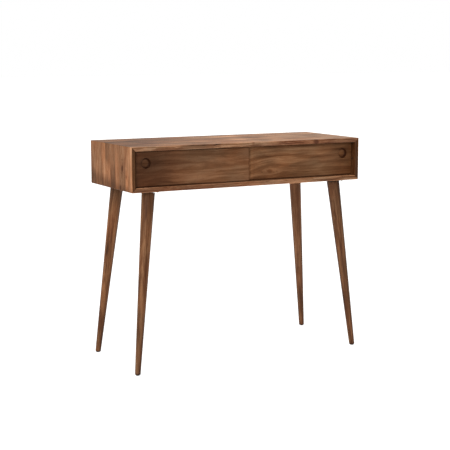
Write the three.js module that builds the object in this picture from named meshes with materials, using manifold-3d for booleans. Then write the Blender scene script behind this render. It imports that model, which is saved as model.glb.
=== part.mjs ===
// A console table: a low mitred wooden case with two sliding doors, on four splayed tapered legs.
// Millimetres, +Z up. The origin is on the floor under the middle of the case, and the doors face -Y.
import * as THREE from "three";
import { mergeVertices } from "three/addons/utils/BufferGeometryUtils.js";
import Module from "manifold-3d";

const wasm = await Module();
wasm.setup();

// ---- Case ----
const CASE_WIDTH = 890;
const CASE_DEPTH = 352;
const CASE_HEIGHT = 150;
const TABLE_HEIGHT = 762;
const BOARD = 15; // thickness of the four case boards
const MITRE_GAP = 0.3; // glue line between mitred boards
const FIT = 0.3; // general clearance between pieces that touch

// ---- Back panel, in a rebate round the rear of the case ----
const REBATE = 8; // both ways
const BACK_THICKNESS = 5;
const BACK_CLEARANCE = 0.5;
const BACK_SCREW_X = [-400, -150, 150, 400];

// ---- Centre divider, let into the top and bottom boards ----
const DIVIDER_THICKNESS = 12;
const DADO_DEPTH = 3;
const DIVIDER_FRONT_Y = -139;

// ---- Splines that cross each mitre ----
const SPLINE_WIDTH = 10;
const SPLINE_THICKNESS = 3;
const SPLINE_LENGTH = 300;
const SPLINE_INSET = 1; // from the middle of the mitre towards the inside corner

// ---- Doors and their tracks ----
const DOOR_THICKNESS = 11;
const FRONT_DOOR_Y = -CASE_DEPTH / 2 + 9.5; // its front face
const DOOR_GAP = 1.5; // between the two doors
const REAR_DOOR_Y = FRONT_DOOR_Y + DOOR_THICKNESS + DOOR_GAP;
const DOOR_END_GAP = 1.3; // from a closed door to the side board
const FRONT_DOOR_END_X = -1; // free end of the left door
const DOOR_OVERLAP = 14; // how far the right door runs on behind the left one
const GAP_BELOW_DOOR = 4.5;
const GAP_ABOVE_DOOR = 2.5;
const GROOVE_WIDTH = 6;
const TONGUE_WIDTH = 5;
const LOWER_GROOVE_DEPTH = 5.5;
const UPPER_GROOVE_DEPTH = 9; // deep enough to lift a door out
const TRACK_STRIP = 1; // thickness of the strip in a lower groove
const UPPER_TONGUE = 6; // height above the door's shoulder

// ---- Finger cup routed into each door ----
const CUP_RADIUS = 17.5;
const CUP_FLOOR_RADIUS = 13.5;
const CUP_DEPTH = 8;
const CUP_INSET = 38; // from the door's outer end to the cup's centre
const CUP_HEIGHT = 95; // above the underside of the case

// ---- Bumpers on the side boards ----
const BUMPER_RADIUS = 4;
const BUMPER_THICKNESS = 1;

// ---- Legs ----
const LEG_TOP_X = 365.8; // leg axis where it meets the underside of the case
const LEG_TOP_Y = 130.3;
const LEG_SPLAY_X = 65.7; // how far the foot stands out beyond the top
const LEG_SPLAY_Y = 43.4;
const LEG_TOP_RADIUS = 22.6;
const LEG_FOOT_RADIUS = 9.7;
const LEG_TOP_EASE = 1.5; // small round on the top edge
const FOOT_ROUND = 4.5; // radius of the foot's rounded rim
const LEG_TOP_DROP = 5.7; // from the case down to the middle of the leg's top

// ---- Leg plates, hanger bolts and glides ----
const PLATE_SIZE = 62;
const PLATE_THICKNESS = 2.5;
const PLATE_CORNER = 8;
const BOSS_RADIUS = 15;
const BOLT_RADIUS = 4;
const BOLT_DEPTH = 38; // into the leg
const PLATE_SCREW_OFFSET = 23;
const GLIDE_RADIUS = 7;
const GLIDE_THICKNESS = 2.6;
const GLIDE_NAIL_RADIUS = 1.2;
const GLIDE_NAIL_LENGTH = 12;

// ---- Screws ----
const PLATE_SCREW = { headRadius: 3.8, headHeight: 2.2, shankRadius: 1.9, length: 10.8, tip: 3 };
const BACK_SCREW = { headRadius: 3, headHeight: 1.8, shankRadius: 1.5, length: 13, tip: 3 };

// ---- Facets round a turned shape ----
const LEG_SIDES = 28;
const CUP_SIDES = 32;
const SMALL_SIDES = 10;

const BOTTOM = TABLE_HEIGHT - CASE_HEIGHT; // underside of the case
const FLOOR_IN = BOTTOM + BOARD; // inside floor of the case
const CEILING_IN = TABLE_HEIGHT - BOARD;
const HALF_WIDTH = CASE_WIDTH / 2;
const HALF_DEPTH = CASE_DEPTH / 2;
const HALF_IN = HALF_WIDTH - BOARD; // half the width of the opening
const REBATE_Y = HALF_DEPTH - REBATE;

const walnut = new THREE.MeshStandardMaterial({ color: 0x7a5643, roughness: 0.48, metalness: 0 });
const doorWood = new THREE.MeshStandardMaterial({ color: 0x6a4a3a, roughness: 0.5, metalness: 0 });
const legWood = new THREE.MeshStandardMaterial({ color: 0x6f4936, roughness: 0.45, metalness: 0 });
const plywood = new THREE.MeshStandardMaterial({ color: 0x8a6a4e, roughness: 0.65, metalness: 0 });
const steel = new THREE.MeshStandardMaterial({ color: 0x2b2b2d, roughness: 0.45, metalness: 0.9 });
const zinc = new THREE.MeshStandardMaterial({ color: 0xb4b6b8, roughness: 0.35, metalness: 1 });
const nylon = new THREE.MeshStandardMaterial({ color: 0x1d1a18, roughness: 0.55, metalness: 0 });
const felt = new THREE.MeshStandardMaterial({ color: 0x3a302a, roughness: 0.95, metalness: 0 });

// A closed geometry as a solid that can be joined and cut.
function toSolid(geometry) {
  const bare = new THREE.BufferGeometry();
  const source = geometry.index ? geometry.toNonIndexed() : geometry;
  bare.setAttribute("position", source.getAttribute("position").clone());
  const merged = mergeVertices(bare, 1e-4);
  const mesh = new wasm.Mesh({
    numProp: 3,
    vertProperties: new Float32Array(merged.getAttribute("position").array),
    triVerts: new Uint32Array(merged.index.array),
  });
  return new wasm.Manifold(mesh);
}

function toGeometry(solid) {
  const mesh = solid.getMesh();
  const geometry = new THREE.BufferGeometry();
  geometry.setAttribute("position", new THREE.BufferAttribute(new Float32Array(mesh.vertProperties), 3));
  geometry.setIndex(new THREE.BufferAttribute(new Uint32Array(mesh.triVerts), 1));
  const faceted = geometry.toNonIndexed();
  faceted.computeVertexNormals();
  return faceted;
}

function cut(geometry, tools) {
  const whole = toSolid(geometry);
  return toGeometry(tools.reduce((solid, tool) => solid.subtract(toSolid(tool)), whole));
}

function join(first, second) {
  return toGeometry(toSolid(first).add(toSolid(second)));
}

// A box between two opposite corners.
function boxBetween(x0, x1, y0, y1, z0, z1) {
  const box = new THREE.BoxGeometry(x1 - x0, y1 - y0, z1 - z0);
  return box.translate((x0 + x1) / 2, (y0 + y1) / 2, (z0 + z1) / 2);
}

// A polygon in the XZ plane, extruded from y0 to y1.
function prismAlongY(outline, y0, y1) {
  const shape = new THREE.Shape(outline.map(([x, z]) => new THREE.Vector2(x, z)));
  const prism = new THREE.ExtrudeGeometry(shape, { depth: y1 - y0, bevelEnabled: false });
  return prism.rotateX(Math.PI / 2).translate(0, y1, 0);
}

// A polygon in the YZ plane, extruded from x0 to x1.
function prismAlongX(outline, x0, x1) {
  const shape = new THREE.Shape(outline.map(([y, z]) => new THREE.Vector2(y, z)));
  const prism = new THREE.ExtrudeGeometry(shape, { depth: x1 - x0, bevelEnabled: false });
  return prism.rotateY(Math.PI / 2).rotateX(Math.PI / 2).translate(x0, 0, 0);
}

// A turned solid about +Z, from [radius, height] pairs that run upwards from the axis back to the axis.
function turned(profile, sides) {
  const points = profile.map(([radius, height]) => new THREE.Vector2(radius, height));
  return new THREE.LatheGeometry(points, sides).rotateX(Math.PI / 2);
}

function cylinder(radius, z0, z1, sides) {
  return turned([[0, z0], [radius, z0], [radius, z1], [0, z1]], sides);
}

function screwGeometry({ headRadius, headHeight, shankRadius, length, tip }) {
  const profile = [
    [0, -headHeight],
    [headRadius * 0.65, -headHeight],
    [headRadius, -headHeight * 0.45],
    [headRadius, 0],
    [shankRadius, 0],
    [shankRadius, length - tip],
    [0, length],
  ];
  return turned(profile, SMALL_SIDES);
}

function pilotHole({ shankRadius, length }) {
  return cylinder(shankRadius + FIT, -1, length + FIT, SMALL_SIDES);
}

function addMesh(parent, name, geometry, material) {
  const mesh = new THREE.Mesh(geometry, material);
  mesh.name = name;
  parent.add(mesh);
  return mesh;
}

// ---- The four corners where a leg stands ----
const corners = [
  { name: "front_left", sideX: -1, sideY: -1 },
  { name: "front_right", sideX: 1, sideY: -1 },
  { name: "back_left", sideX: -1, sideY: 1 },
  { name: "back_right", sideX: 1, sideY: 1 },
];

const screwCorners = [
  [-1, -1],
  [1, -1],
  [-1, 1],
  [1, 1],
];

// ---- The mitred corners of the case ----
const mitres = [
  { name: "mitre_spline_top_left", sideX: -1, sideZ: 1 },
  { name: "mitre_spline_top_right", sideX: 1, sideZ: 1 },
  { name: "mitre_spline_bottom_left", sideX: -1, sideZ: -1 },
  { name: "mitre_spline_bottom_right", sideX: 1, sideZ: -1 },
];

// A strip that crosses a mitre at right angles. Clearance widens it into the slot it sits in.
function splineGeometry({ sideX, sideZ }, clearance) {
  const strip = new THREE.BoxGeometry(
    SPLINE_WIDTH + 2 * clearance,
    SPLINE_LENGTH + 2 * clearance,
    SPLINE_THICKNESS + 2 * clearance,
  );
  const x = sideX * (HALF_WIDTH - BOARD / 2 - SPLINE_INSET);
  const middle = (BOTTOM + TABLE_HEIGHT) / 2;
  const z = middle + sideZ * (CASE_HEIGHT / 2 - BOARD / 2 - SPLINE_INSET);
  return strip.rotateY((sideX * sideZ * Math.PI) / 4).translate(x, 0, z);
}

const splineSlots = mitres.map((mitre) => splineGeometry(mitre, FIT));

// ---- Grooves that the doors' tongues run in ----
const doorMiddles = [FRONT_DOOR_Y + DOOR_THICKNESS / 2, REAR_DOOR_Y + DOOR_THICKNESS / 2];

function grooves(z0, z1) {
  return doorMiddles.map((y) =>
    boxBetween(-HALF_IN, HALF_IN, y - GROOVE_WIDTH / 2, y + GROOVE_WIDTH / 2, z0, z1),
  );
}

function dado(z0, z1) {
  const half = DIVIDER_THICKNESS / 2 + FIT / 2;
  return boxBetween(-half, half, DIVIDER_FRONT_Y - FIT, REBATE_Y + 1, z0, z1);
}

// The holes for the back panel's screws, in the board whose rebate is at height z.
function backScrewHoles(z) {
  return BACK_SCREW_X.map((x) =>
    pilotHole(BACK_SCREW).rotateX(Math.PI / 2).translate(x, REBATE_Y + BACK_THICKNESS + FIT, z),
  );
}

const LOWER_SCREW_Z = FLOOR_IN - REBATE / 2;
const UPPER_SCREW_Z = CEILING_IN + REBATE / 2;

// ---- Case boards ----
function makeTopPanel() {
  const outline = [
    [-HALF_IN, CEILING_IN],
    [HALF_IN, CEILING_IN],
    [HALF_WIDTH, TABLE_HEIGHT],
    [-HALF_WIDTH, TABLE_HEIGHT],
  ];
  const rebate = boxBetween(-HALF_WIDTH, HALF_WIDTH, REBATE_Y, HALF_DEPTH + 1, CEILING_IN - 1, CEILING_IN + REBATE);
  return cut(prismAlongY(outline, -HALF_DEPTH, HALF_DEPTH), [
    rebate,
    dado(CEILING_IN - 1, CEILING_IN + DADO_DEPTH),
    ...grooves(CEILING_IN - 1, CEILING_IN + UPPER_GROOVE_DEPTH),
    ...splineSlots.slice(0, 2),
    ...backScrewHoles(UPPER_SCREW_Z),
  ]);
}

// The screw positions on one leg plate, in the case's own frame.
function plateScrewPositions({ sideX, sideY }) {
  return screwCorners.map(([dx, dy]) => [
    sideX * LEG_TOP_X + dx * PLATE_SCREW_OFFSET,
    sideY * LEG_TOP_Y + dy * PLATE_SCREW_OFFSET,
  ]);
}

function makeBottomPanel() {
  const outline = [
    [-HALF_WIDTH, BOTTOM],
    [HALF_WIDTH, BOTTOM],
    [HALF_IN, FLOOR_IN],
    [-HALF_IN, FLOOR_IN],
  ];
  const rebate = boxBetween(-HALF_WIDTH, HALF_WIDTH, REBATE_Y, HALF_DEPTH + 1, FLOOR_IN - REBATE, FLOOR_IN + 1);
  const legScrewHoles = corners
    .flatMap(plateScrewPositions)
    .map(([x, y]) => pilotHole(PLATE_SCREW).translate(x, y, BOTTOM - PLATE_THICKNESS));
  return cut(prismAlongY(outline, -HALF_DEPTH, HALF_DEPTH), [
    rebate,
    dado(FLOOR_IN - DADO_DEPTH, FLOOR_IN + 1),
    ...grooves(FLOOR_IN - LOWER_GROOVE_DEPTH, FLOOR_IN + 1),
    ...splineSlots.slice(2),
    ...backScrewHoles(LOWER_SCREW_Z),
    ...legScrewHoles,
  ]);
}

function makeSidePanel(sideX) {
  const outline = [
    [sideX * HALF_WIDTH, BOTTOM + MITRE_GAP],
    [sideX * HALF_IN, FLOOR_IN + MITRE_GAP],
    [sideX * HALF_IN, CEILING_IN - MITRE_GAP],
    [sideX * HALF_WIDTH, TABLE_HEIGHT - MITRE_GAP],
  ];
  const rebateX = [sideX * (HALF_IN - 1), sideX * (HALF_IN + REBATE)].sort((a, b) => a - b);
  const rebate = boxBetween(...rebateX, REBATE_Y, HALF_DEPTH + 1, BOTTOM - 1, TABLE_HEIGHT + 1);
  const slots = mitres.map((mitre, i) => (mitre.sideX === sideX ? splineSlots[i] : null));
  return cut(prismAlongY(outline, -HALF_DEPTH, HALF_DEPTH), [rebate, ...slots.filter(Boolean)]);
}

function makeBackPanel() {
  const halfX = HALF_IN + REBATE - BACK_CLEARANCE;
  const y0 = REBATE_Y + FIT;
  const z0 = FLOOR_IN - REBATE + BACK_CLEARANCE;
  const z1 = CEILING_IN + REBATE - BACK_CLEARANCE;
  const panel = boxBetween(-halfX, halfX, y0, y0 + BACK_THICKNESS, z0, z1);
  return cut(panel, [...backScrewHoles(LOWER_SCREW_Z), ...backScrewHoles(UPPER_SCREW_Z)]);
}

function makeDivider() {
  const half = DIVIDER_THICKNESS / 2;
  const z0 = FLOOR_IN - DADO_DEPTH + FIT;
  const z1 = CEILING_IN + DADO_DEPTH - FIT;
  return boxBetween(-half, half, DIVIDER_FRONT_Y, REBATE_Y, z0, z1);
}

// ---- Doors ----
// A flat panel with a tongue along its top and bottom edges and a round finger cup in its front.
function makeDoor(frontY, x0, x1, cupX) {
  const backY = frontY + DOOR_THICKNESS;
  const tongueFront = frontY + (DOOR_THICKNESS - TONGUE_WIDTH) / 2;
  const tongueBack = tongueFront + TONGUE_WIDTH;
  const lowerShoulder = FLOOR_IN + GAP_BELOW_DOOR;
  const upperShoulder = CEILING_IN - GAP_ABOVE_DOOR;
  const tongueFoot = FLOOR_IN - LOWER_GROOVE_DEPTH + TRACK_STRIP + 2 * FIT;
  const outline = [
    [frontY, lowerShoulder],
    [tongueFront, lowerShoulder],
    [tongueFront, tongueFoot],
    [tongueBack, tongueFoot],
    [tongueBack, lowerShoulder],
    [backY, lowerShoulder],
    [backY, upperShoulder],
    [tongueBack, upperShoulder],
    [tongueBack, upperShoulder + UPPER_TONGUE],
    [tongueFront, upperShoulder + UPPER_TONGUE],
    [tongueFront, upperShoulder],
    [frontY, upperShoulder],
  ];
  const cup = turned(
    [
      [0, -CUP_DEPTH],
      [CUP_FLOOR_RADIUS, -CUP_DEPTH],
      [CUP_RADIUS - 1, -CUP_DEPTH + 2.5],
      [CUP_RADIUS, -CUP_DEPTH + 5],
      [CUP_RADIUS, 1],
      [0, 1],
    ],
    CUP_SIDES,
  );
  cup.rotateX(Math.PI / 2).translate(cupX, frontY, BOTTOM + CUP_HEIGHT);
  return cut(prismAlongX(outline, x0, x1), [cup]);
}

const DOOR_OUTER_X = HALF_IN - DOOR_END_GAP;
const REAR_DOOR_END_X = FRONT_DOOR_END_X - DOOR_OVERLAP;

function makeTrackStrip(middleY) {
  const half = GROOVE_WIDTH / 2 - FIT / 2;
  const z0 = FLOOR_IN - LOWER_GROOVE_DEPTH;
  return boxBetween(-HALF_IN + 1, HALF_IN - 1, middleY - half, middleY + half, z0, z0 + TRACK_STRIP);
}

const console_table = new THREE.Group();
const caseGroup = new THREE.Group();
console_table.add(caseGroup);

addMesh(caseGroup, "top_panel", makeTopPanel(), walnut);
addMesh(caseGroup, "bottom_panel", makeBottomPanel(), walnut);
addMesh(caseGroup, "left_side_panel", makeSidePanel(-1), walnut);
addMesh(caseGroup, "right_side_panel", makeSidePanel(1), walnut);
addMesh(caseGroup, "back_panel", makeBackPanel(), plywood);
addMesh(caseGroup, "centre_divider", makeDivider(), walnut);
for (const mitre of mitres) {
  addMesh(caseGroup, mitre.name, splineGeometry(mitre, 0), plywood);
}

const leftDoor = makeDoor(FRONT_DOOR_Y, -DOOR_OUTER_X, FRONT_DOOR_END_X, -DOOR_OUTER_X + CUP_INSET);
const rightDoor = makeDoor(REAR_DOOR_Y, REAR_DOOR_END_X, DOOR_OUTER_X, DOOR_OUTER_X - CUP_INSET);
addMesh(console_table, "left_door", leftDoor, doorWood);
addMesh(console_table, "right_door", rightDoor, doorWood);

addMesh(caseGroup, "front_track_strip", makeTrackStrip(doorMiddles[0]), nylon);
addMesh(caseGroup, "rear_track_strip", makeTrackStrip(doorMiddles[1]), nylon);

// A pad at each end of each track, half way up the doors.
for (const [track, middleY] of [["front", doorMiddles[0]], ["rear", doorMiddles[1]]]) {
  for (const [side, sideX] of [["left", -1], ["right", 1]]) {
    const pad = addMesh(
      caseGroup,
      `${track}_track_${side}_bumper`,
      cylinder(BUMPER_RADIUS, 0, BUMPER_THICKNESS, SMALL_SIDES + 2),
      felt,
    );
    pad.rotation.y = (-sideX * Math.PI) / 2;
    pad.position.set(sideX * HALF_IN, middleY, (FLOOR_IN + CEILING_IN) / 2);
  }
}

// The back panel's screws: their heads stay within the depth of the rebate.
const backScrew = screwGeometry(BACK_SCREW);
BACK_SCREW_X.forEach((x, i) => {
  for (const [row, z] of [["upper", UPPER_SCREW_Z], ["lower", LOWER_SCREW_Z]]) {
    const screw = addMesh(caseGroup, `back_panel_${row}_screw_${i + 1}`, backScrew, zinc);
    screw.rotation.x = Math.PI / 2;
    screw.position.set(x, REBATE_Y + BACK_THICKNESS + 1.5 * FIT, z);
  }
});

// ---- Legs ----
// Each leg group hangs from the point where the leg's axis meets the case. Its tilted group has
// the leg's own axis as +Z, with the floor point at -legLength.
const legLength = Math.hypot(LEG_SPLAY_X, LEG_SPLAY_Y, BOTTOM);
const legTopAt = (-LEG_TOP_DROP / BOTTOM) * legLength;

function legRadiusAt(height) {
  return LEG_TOP_RADIUS + ((LEG_FOOT_RADIUS - LEG_TOP_RADIUS) * -height) / legLength;
}

// A block that fills everything below (side -1) or above (side +1) a level, in the tilted frame.
function levelBlock(level, side, tilt) {
  const size = 200;
  const block = new THREE.BoxGeometry(2 * size, 2 * size, size);
  block.translate(0, 0, level + (side * size) / 2);
  return block.applyQuaternion(tilt.clone().invert());
}

function makeLeg(tilt, foot) {
  const heel = -legLength + 1;
  const round = [0, 22.5, 45, 67.5, 90].map((degrees) => {
    const angle = THREE.MathUtils.degToRad(degrees);
    const rim = LEG_FOOT_RADIUS - FOOT_ROUND * (1 - Math.sin(angle));
    return [rim, heel + FOOT_ROUND * (1 - Math.cos(angle))];
  });
  const profile = [
    [0, heel],
    ...round,
    [legRadiusAt(-legLength / 2), -legLength / 2],
    [legRadiusAt(legTopAt - LEG_TOP_EASE), legTopAt - LEG_TOP_EASE],
    [legRadiusAt(legTopAt) - LEG_TOP_EASE, legTopAt],
    [0, legTopAt],
  ];
  const level = levelBlock(-BOTTOM + GLIDE_THICKNESS + FIT, -1, tilt);
  const boltHole = cylinder(BOLT_RADIUS + FIT, legTopAt - BOLT_DEPTH - 1, legTopAt + 1, SMALL_SIDES);
  const nailHole = cylinder(GLIDE_NAIL_RADIUS + FIT, 0, GLIDE_THICKNESS + GLIDE_NAIL_LENGTH + 1, SMALL_SIDES);
  nailHole.translate(foot.x, foot.y, foot.z).applyQuaternion(tilt.clone().invert());
  return cut(turned(profile, LEG_SIDES), [level, boltHole, nailHole]);
}

function roundedSquare(size, corner) {
  const half = size / 2;
  const shape = new THREE.Shape();
  shape.moveTo(-half + corner, -half);
  shape.lineTo(half - corner, -half);
  shape.absarc(half - corner, -half + corner, corner, -Math.PI / 2, 0);
  shape.lineTo(half, half - corner);
  shape.absarc(half - corner, half - corner, corner, 0, Math.PI / 2);
  shape.lineTo(-half + corner, half);
  shape.absarc(-half + corner, half - corner, corner, Math.PI / 2, Math.PI);
  shape.lineTo(-half, -half + corner);
  shape.absarc(-half + corner, -half + corner, corner, Math.PI, Math.PI * 1.5);
  return shape;
}

// A flat plate with a boss whose lower face is square to the leg.
function makeLegPlate(tilt) {
  const flat = new THREE.ExtrudeGeometry(roundedSquare(PLATE_SIZE, PLATE_CORNER), {
    depth: PLATE_THICKNESS - FIT / 3,
    bevelEnabled: false,
    curveSegments: 4,
  });
  flat.translate(0, 0, -PLATE_THICKNESS);
  const slanted = cylinder(BOSS_RADIUS, legTopAt + FIT, LEG_TOP_DROP, LEG_SIDES).applyQuaternion(tilt);
  const above = boxBetween(-50, 50, -50, 50, -PLATE_THICKNESS / 2, 50);
  const boss = cut(slanted, [above]);
  const boltHole = cylinder(BOLT_RADIUS + FIT, -50, 50, SMALL_SIDES).applyQuaternion(tilt);
  const screwHoles = screwCorners.map(([dx, dy]) =>
    cylinder(PLATE_SCREW.shankRadius + 2 * FIT, -50, 50, SMALL_SIDES).translate(
      dx * PLATE_SCREW_OFFSET,
      dy * PLATE_SCREW_OFFSET,
      0,
    ),
  );
  return cut(join(flat, boss), [boltHole, ...screwHoles]);
}

// A stud that is screwed into the leg and into the plate's boss.
function makeHangerBolt() {
  const top = -PLATE_THICKNESS / 2;
  const bottom = legTopAt - BOLT_DEPTH;
  const profile = [
    [0, bottom],
    [BOLT_RADIUS, bottom + BOLT_RADIUS],
    [BOLT_RADIUS, top - 1],
    [BOLT_RADIUS - 1, top],
    [0, top],
  ];
  return turned(profile, SMALL_SIDES);
}

// A flat-bottomed pad with a nail that goes up into the foot.
function makeGlide() {
  const profile = [
    [0, 0],
    [GLIDE_RADIUS - 1.2, 0],
    [GLIDE_RADIUS, 1.2],
    [GLIDE_RADIUS, GLIDE_THICKNESS],
    [GLIDE_NAIL_RADIUS, GLIDE_THICKNESS],
    [GLIDE_NAIL_RADIUS, GLIDE_THICKNESS + GLIDE_NAIL_LENGTH - 2],
    [0, GLIDE_THICKNESS + GLIDE_NAIL_LENGTH],
  ];
  return turned(profile, LEG_SIDES / 2);
}

const plateScrew = screwGeometry(PLATE_SCREW);

for (const corner of corners) {
  const { name, sideX, sideY } = corner;
  const foot = new THREE.Vector3(sideX * LEG_SPLAY_X, sideY * LEG_SPLAY_Y, -BOTTOM);
  const upwards = foot.clone().negate().normalize();
  const tilt = new THREE.Quaternion().setFromUnitVectors(new THREE.Vector3(0, 0, 1), upwards);

  const legGroup = new THREE.Group();
  legGroup.position.set(sideX * LEG_TOP_X, sideY * LEG_TOP_Y, BOTTOM);
  console_table.add(legGroup);

  const tilted = new THREE.Group();
  tilted.quaternion.copy(tilt);
  legGroup.add(tilted);

  addMesh(tilted, `${name}_leg`, makeLeg(tilt, foot), legWood);
  addMesh(tilted, `${name}_hanger_bolt`, makeHangerBolt(), zinc);
  addMesh(legGroup, `${name}_leg_plate`, makeLegPlate(tilt), steel);

  const glide = addMesh(legGroup, `${name}_foot_glide`, makeGlide(), nylon);
  glide.position.copy(foot);

  screwCorners.forEach(([dx, dy], i) => {
    const screw = addMesh(legGroup, `${name}_leg_plate_screw_${i + 1}`, plateScrew, steel);
    screw.position.set(dx * PLATE_SCREW_OFFSET, dy * PLATE_SCREW_OFFSET, -PLATE_THICKNESS - FIT / 3);
  });
}

export default console_table;
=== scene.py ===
"""A walnut console table with two sliding doors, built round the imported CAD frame.

Metres, +Z up, doors towards -Y. Places and outer sizes come from the CAD nodes' own boxes. Sizes
that a box doesn't show, such as a groove's depth, repeat the CAD's.
"""

import math

import bmesh
import bpy
from mathutils import Matrix, Vector


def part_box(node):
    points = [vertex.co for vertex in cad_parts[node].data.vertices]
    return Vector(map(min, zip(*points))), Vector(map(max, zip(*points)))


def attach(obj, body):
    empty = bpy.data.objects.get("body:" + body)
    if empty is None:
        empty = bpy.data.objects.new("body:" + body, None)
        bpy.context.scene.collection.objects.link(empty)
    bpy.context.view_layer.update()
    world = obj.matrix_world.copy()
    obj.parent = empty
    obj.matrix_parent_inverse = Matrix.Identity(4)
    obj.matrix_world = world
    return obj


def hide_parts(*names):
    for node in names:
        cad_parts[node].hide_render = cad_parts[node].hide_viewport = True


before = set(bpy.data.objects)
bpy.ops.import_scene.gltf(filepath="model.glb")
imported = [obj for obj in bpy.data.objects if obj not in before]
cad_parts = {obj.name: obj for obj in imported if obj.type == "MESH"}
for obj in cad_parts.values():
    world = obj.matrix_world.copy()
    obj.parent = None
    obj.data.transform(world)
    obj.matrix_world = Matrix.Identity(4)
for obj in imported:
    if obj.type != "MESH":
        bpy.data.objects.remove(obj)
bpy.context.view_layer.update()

MM = 0.001
FIT = 0.3 * MM  # clearance between pieces that touch
OVERCUT = 10 * MM  # how far a cutter reaches past the face that it cuts
NEAR = 1e-6  # places closer than this count as one
TINY = 1e-9

# ---------------------------------------------------------------- sizes from the CAD

TOP_LOW, TOP_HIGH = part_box("top_panel")
BOTTOM_LOW, BOTTOM_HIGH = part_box("bottom_panel")
HALF_WIDTH = TOP_HIGH.x
HALF_DEPTH = TOP_HIGH.y
TOP_Z = TOP_HIGH.z
CEILING_Z = TOP_LOW.z
UNDERSIDE_Z = BOTTOM_LOW.z
FLOOR_Z = BOTTOM_HIGH.z
BOARD = TOP_Z - CEILING_Z
HALF_INSIDE = HALF_WIDTH - BOARD

BACK_LOW, BACK_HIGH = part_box("back_panel")
BACK_CLEARANCE = 0.5 * MM
REBATE_Y = BACK_LOW.y - FIT
REBATE = HALF_DEPTH - REBATE_Y

TRACKS = {
    "front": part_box("front_track_strip"),
    "rear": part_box("rear_track_strip"),
}
GROOVE_HALF = 3 * MM
UPPER_GROOVE_DEPTH = 9 * MM

LEG_TOP_RADIUS = 22.6 * MM
LEG_FOOT_RADIUS = 9.7 * MM
LEG_TOP_DROP = 5.7 * MM
FOOT_ROUND = 4.5 * MM
PLATE_THICKNESS = 2.5 * MM

EDGE_EASE = 1.5 * MM  # rounding of the case's edges and outer corners
SIDE_MITRE_GAP = 0.15 * MM  # how far a side board's mitre stands back from the joint
CASE_MIDDLE_Z = (TOP_Z + UNDERSIDE_Z) / 2

HARDWARE_CREASE = 40  # degrees, above which a turned or pressed piece keeps a sharp edge
CORNERS = ("front_left", "front_right", "back_left", "back_right")


# ---------------------------------------------------------------- mesh helpers


def clamp(value):
    return min(max(value, 0), 1)


def link(name, bm):
    """A new object made from a bmesh, which is freed."""
    bmesh.ops.recalc_face_normals(bm, faces=bm.faces)
    mesh = bpy.data.meshes.new(name)
    bm.to_mesh(mesh)
    bm.free()
    obj = bpy.data.objects.new(name, mesh)
    bpy.context.scene.collection.objects.link(obj)
    return obj


def smooth(obj, degrees=35):
    """Smooth shading, except across edges sharper than this."""
    for face in obj.data.polygons:
        face.use_smooth = True
    obj.data.set_sharp_from_angle(angle=math.radians(degrees))
    weighted = obj.modifiers.new("even shading", "WEIGHTED_NORMAL")
    weighted.keep_sharp = True


def prism(outline, plane, low, high):
    """An outline extruded from low to high. plane is "XZ" (extruded along Y) or "YZ" (along X)."""
    place = {
        "XZ": lambda a, b, c: (a, c, b),
        "YZ": lambda a, b, c: (c, a, b),
    }[plane]
    bm = bmesh.new()
    ends = [[bm.verts.new(place(a, b, level)) for a, b in outline] for level in (low, high)]
    bm.faces.new(ends[0])
    bm.faces.new(list(reversed(ends[1])))
    count = len(outline)
    for i in range(count):
        j = (i + 1) % count
        bm.faces.new((ends[0][j], ends[0][i], ends[1][i], ends[1][j]))
    return bm


def ease(bm, test, width, segments=3):
    """Rounds every edge whose two ends pass the test, and marks the rounding, which the wood paints
    paler: rubbed wear, strengthened into a painted highlight.
    """
    wear_and_painted_light = bm.verts.layers.float.get("wear_and_painted_light") or bm.verts.layers.float.new("wear_and_painted_light")
    edges = [e for e in bm.edges if test(*[v.co for v in e.verts])]
    made = bmesh.ops.bevel(
        bm,
        geom=edges,
        offset=width,
        segments=segments,
        profile=0.5,
        affect="EDGES",
        clamp_overlap=True,
    )
    rounding = set(made["faces"])
    for vertex in made["verts"]:
        if sum(face in rounding for face in vertex.link_faces) >= 2:
            vertex[wear_and_painted_light] = 1.0


def lathe(name, profile, sides, matrix=None):
    """A closed solid turned about +Z from (radius, height) pairs that start and end on the axis."""
    bm = bmesh.new()
    rings = []
    for radius, height in profile:
        if radius < TINY:
            rings.append([bm.verts.new((0, 0, height))])
            continue
        ring = []
        for i in range(sides):
            angle = 2 * math.pi * i / sides
            ring.append(bm.verts.new((radius * math.cos(angle), radius * math.sin(angle), height)))
        rings.append(ring)
    for lower, upper in zip(rings, rings[1:]):
        for i in range(sides):
            j = (i + 1) % sides
            below = [lower[i % len(lower)], lower[j % len(lower)]]
            above = [upper[j % len(upper)], upper[i % len(upper)]]
            unique = list(dict.fromkeys(below + above))
            if len(unique) > 2:
                bm.faces.new(unique)
    if matrix is not None:
        bm.transform(matrix)
    return link(name, bm)


def box_object(low, high):
    """A plain box between two corners, to cut with."""
    bm = bmesh.new()
    bmesh.ops.create_cube(bm, size=1)
    low, high = Vector(low), Vector(high)
    size = high - low
    bm.transform(Matrix.Translation((low + high) / 2) @ Matrix.Diagonal((*size, 1)))
    return link("cutter", bm)


def carve(obj, cutters):
    """Cuts the cutters out of obj, and removes them."""
    for cutter in cutters:
        boolean = obj.modifiers.new("cut", "BOOLEAN")
        boolean.operation = "DIFFERENCE"
        boolean.solver = "EXACT"
        boolean.object = cutter
    bpy.context.view_layer.update()
    evaluated = obj.evaluated_get(bpy.context.evaluated_depsgraph_get())
    result = bpy.data.meshes.new_from_object(evaluated)
    obj.modifiers.clear()
    old = obj.data
    obj.data = result
    bpy.data.meshes.remove(old)
    for cutter in cutters:
        mesh = cutter.data
        bpy.data.objects.remove(cutter)
        bpy.data.meshes.remove(mesh)


def grain_axes(along, across, origin=(0, 0, 0)):
    """A matrix that turns a point of the object into (along the grain, across it, through it)."""
    along = Vector(along).normalized()
    across = (Vector(across) - along * along.dot(Vector(across))).normalized()
    through = along.cross(across)
    turn = Matrix((along, across, through)).to_4x4()
    return turn @ Matrix.Translation(-Vector(origin))


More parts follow.
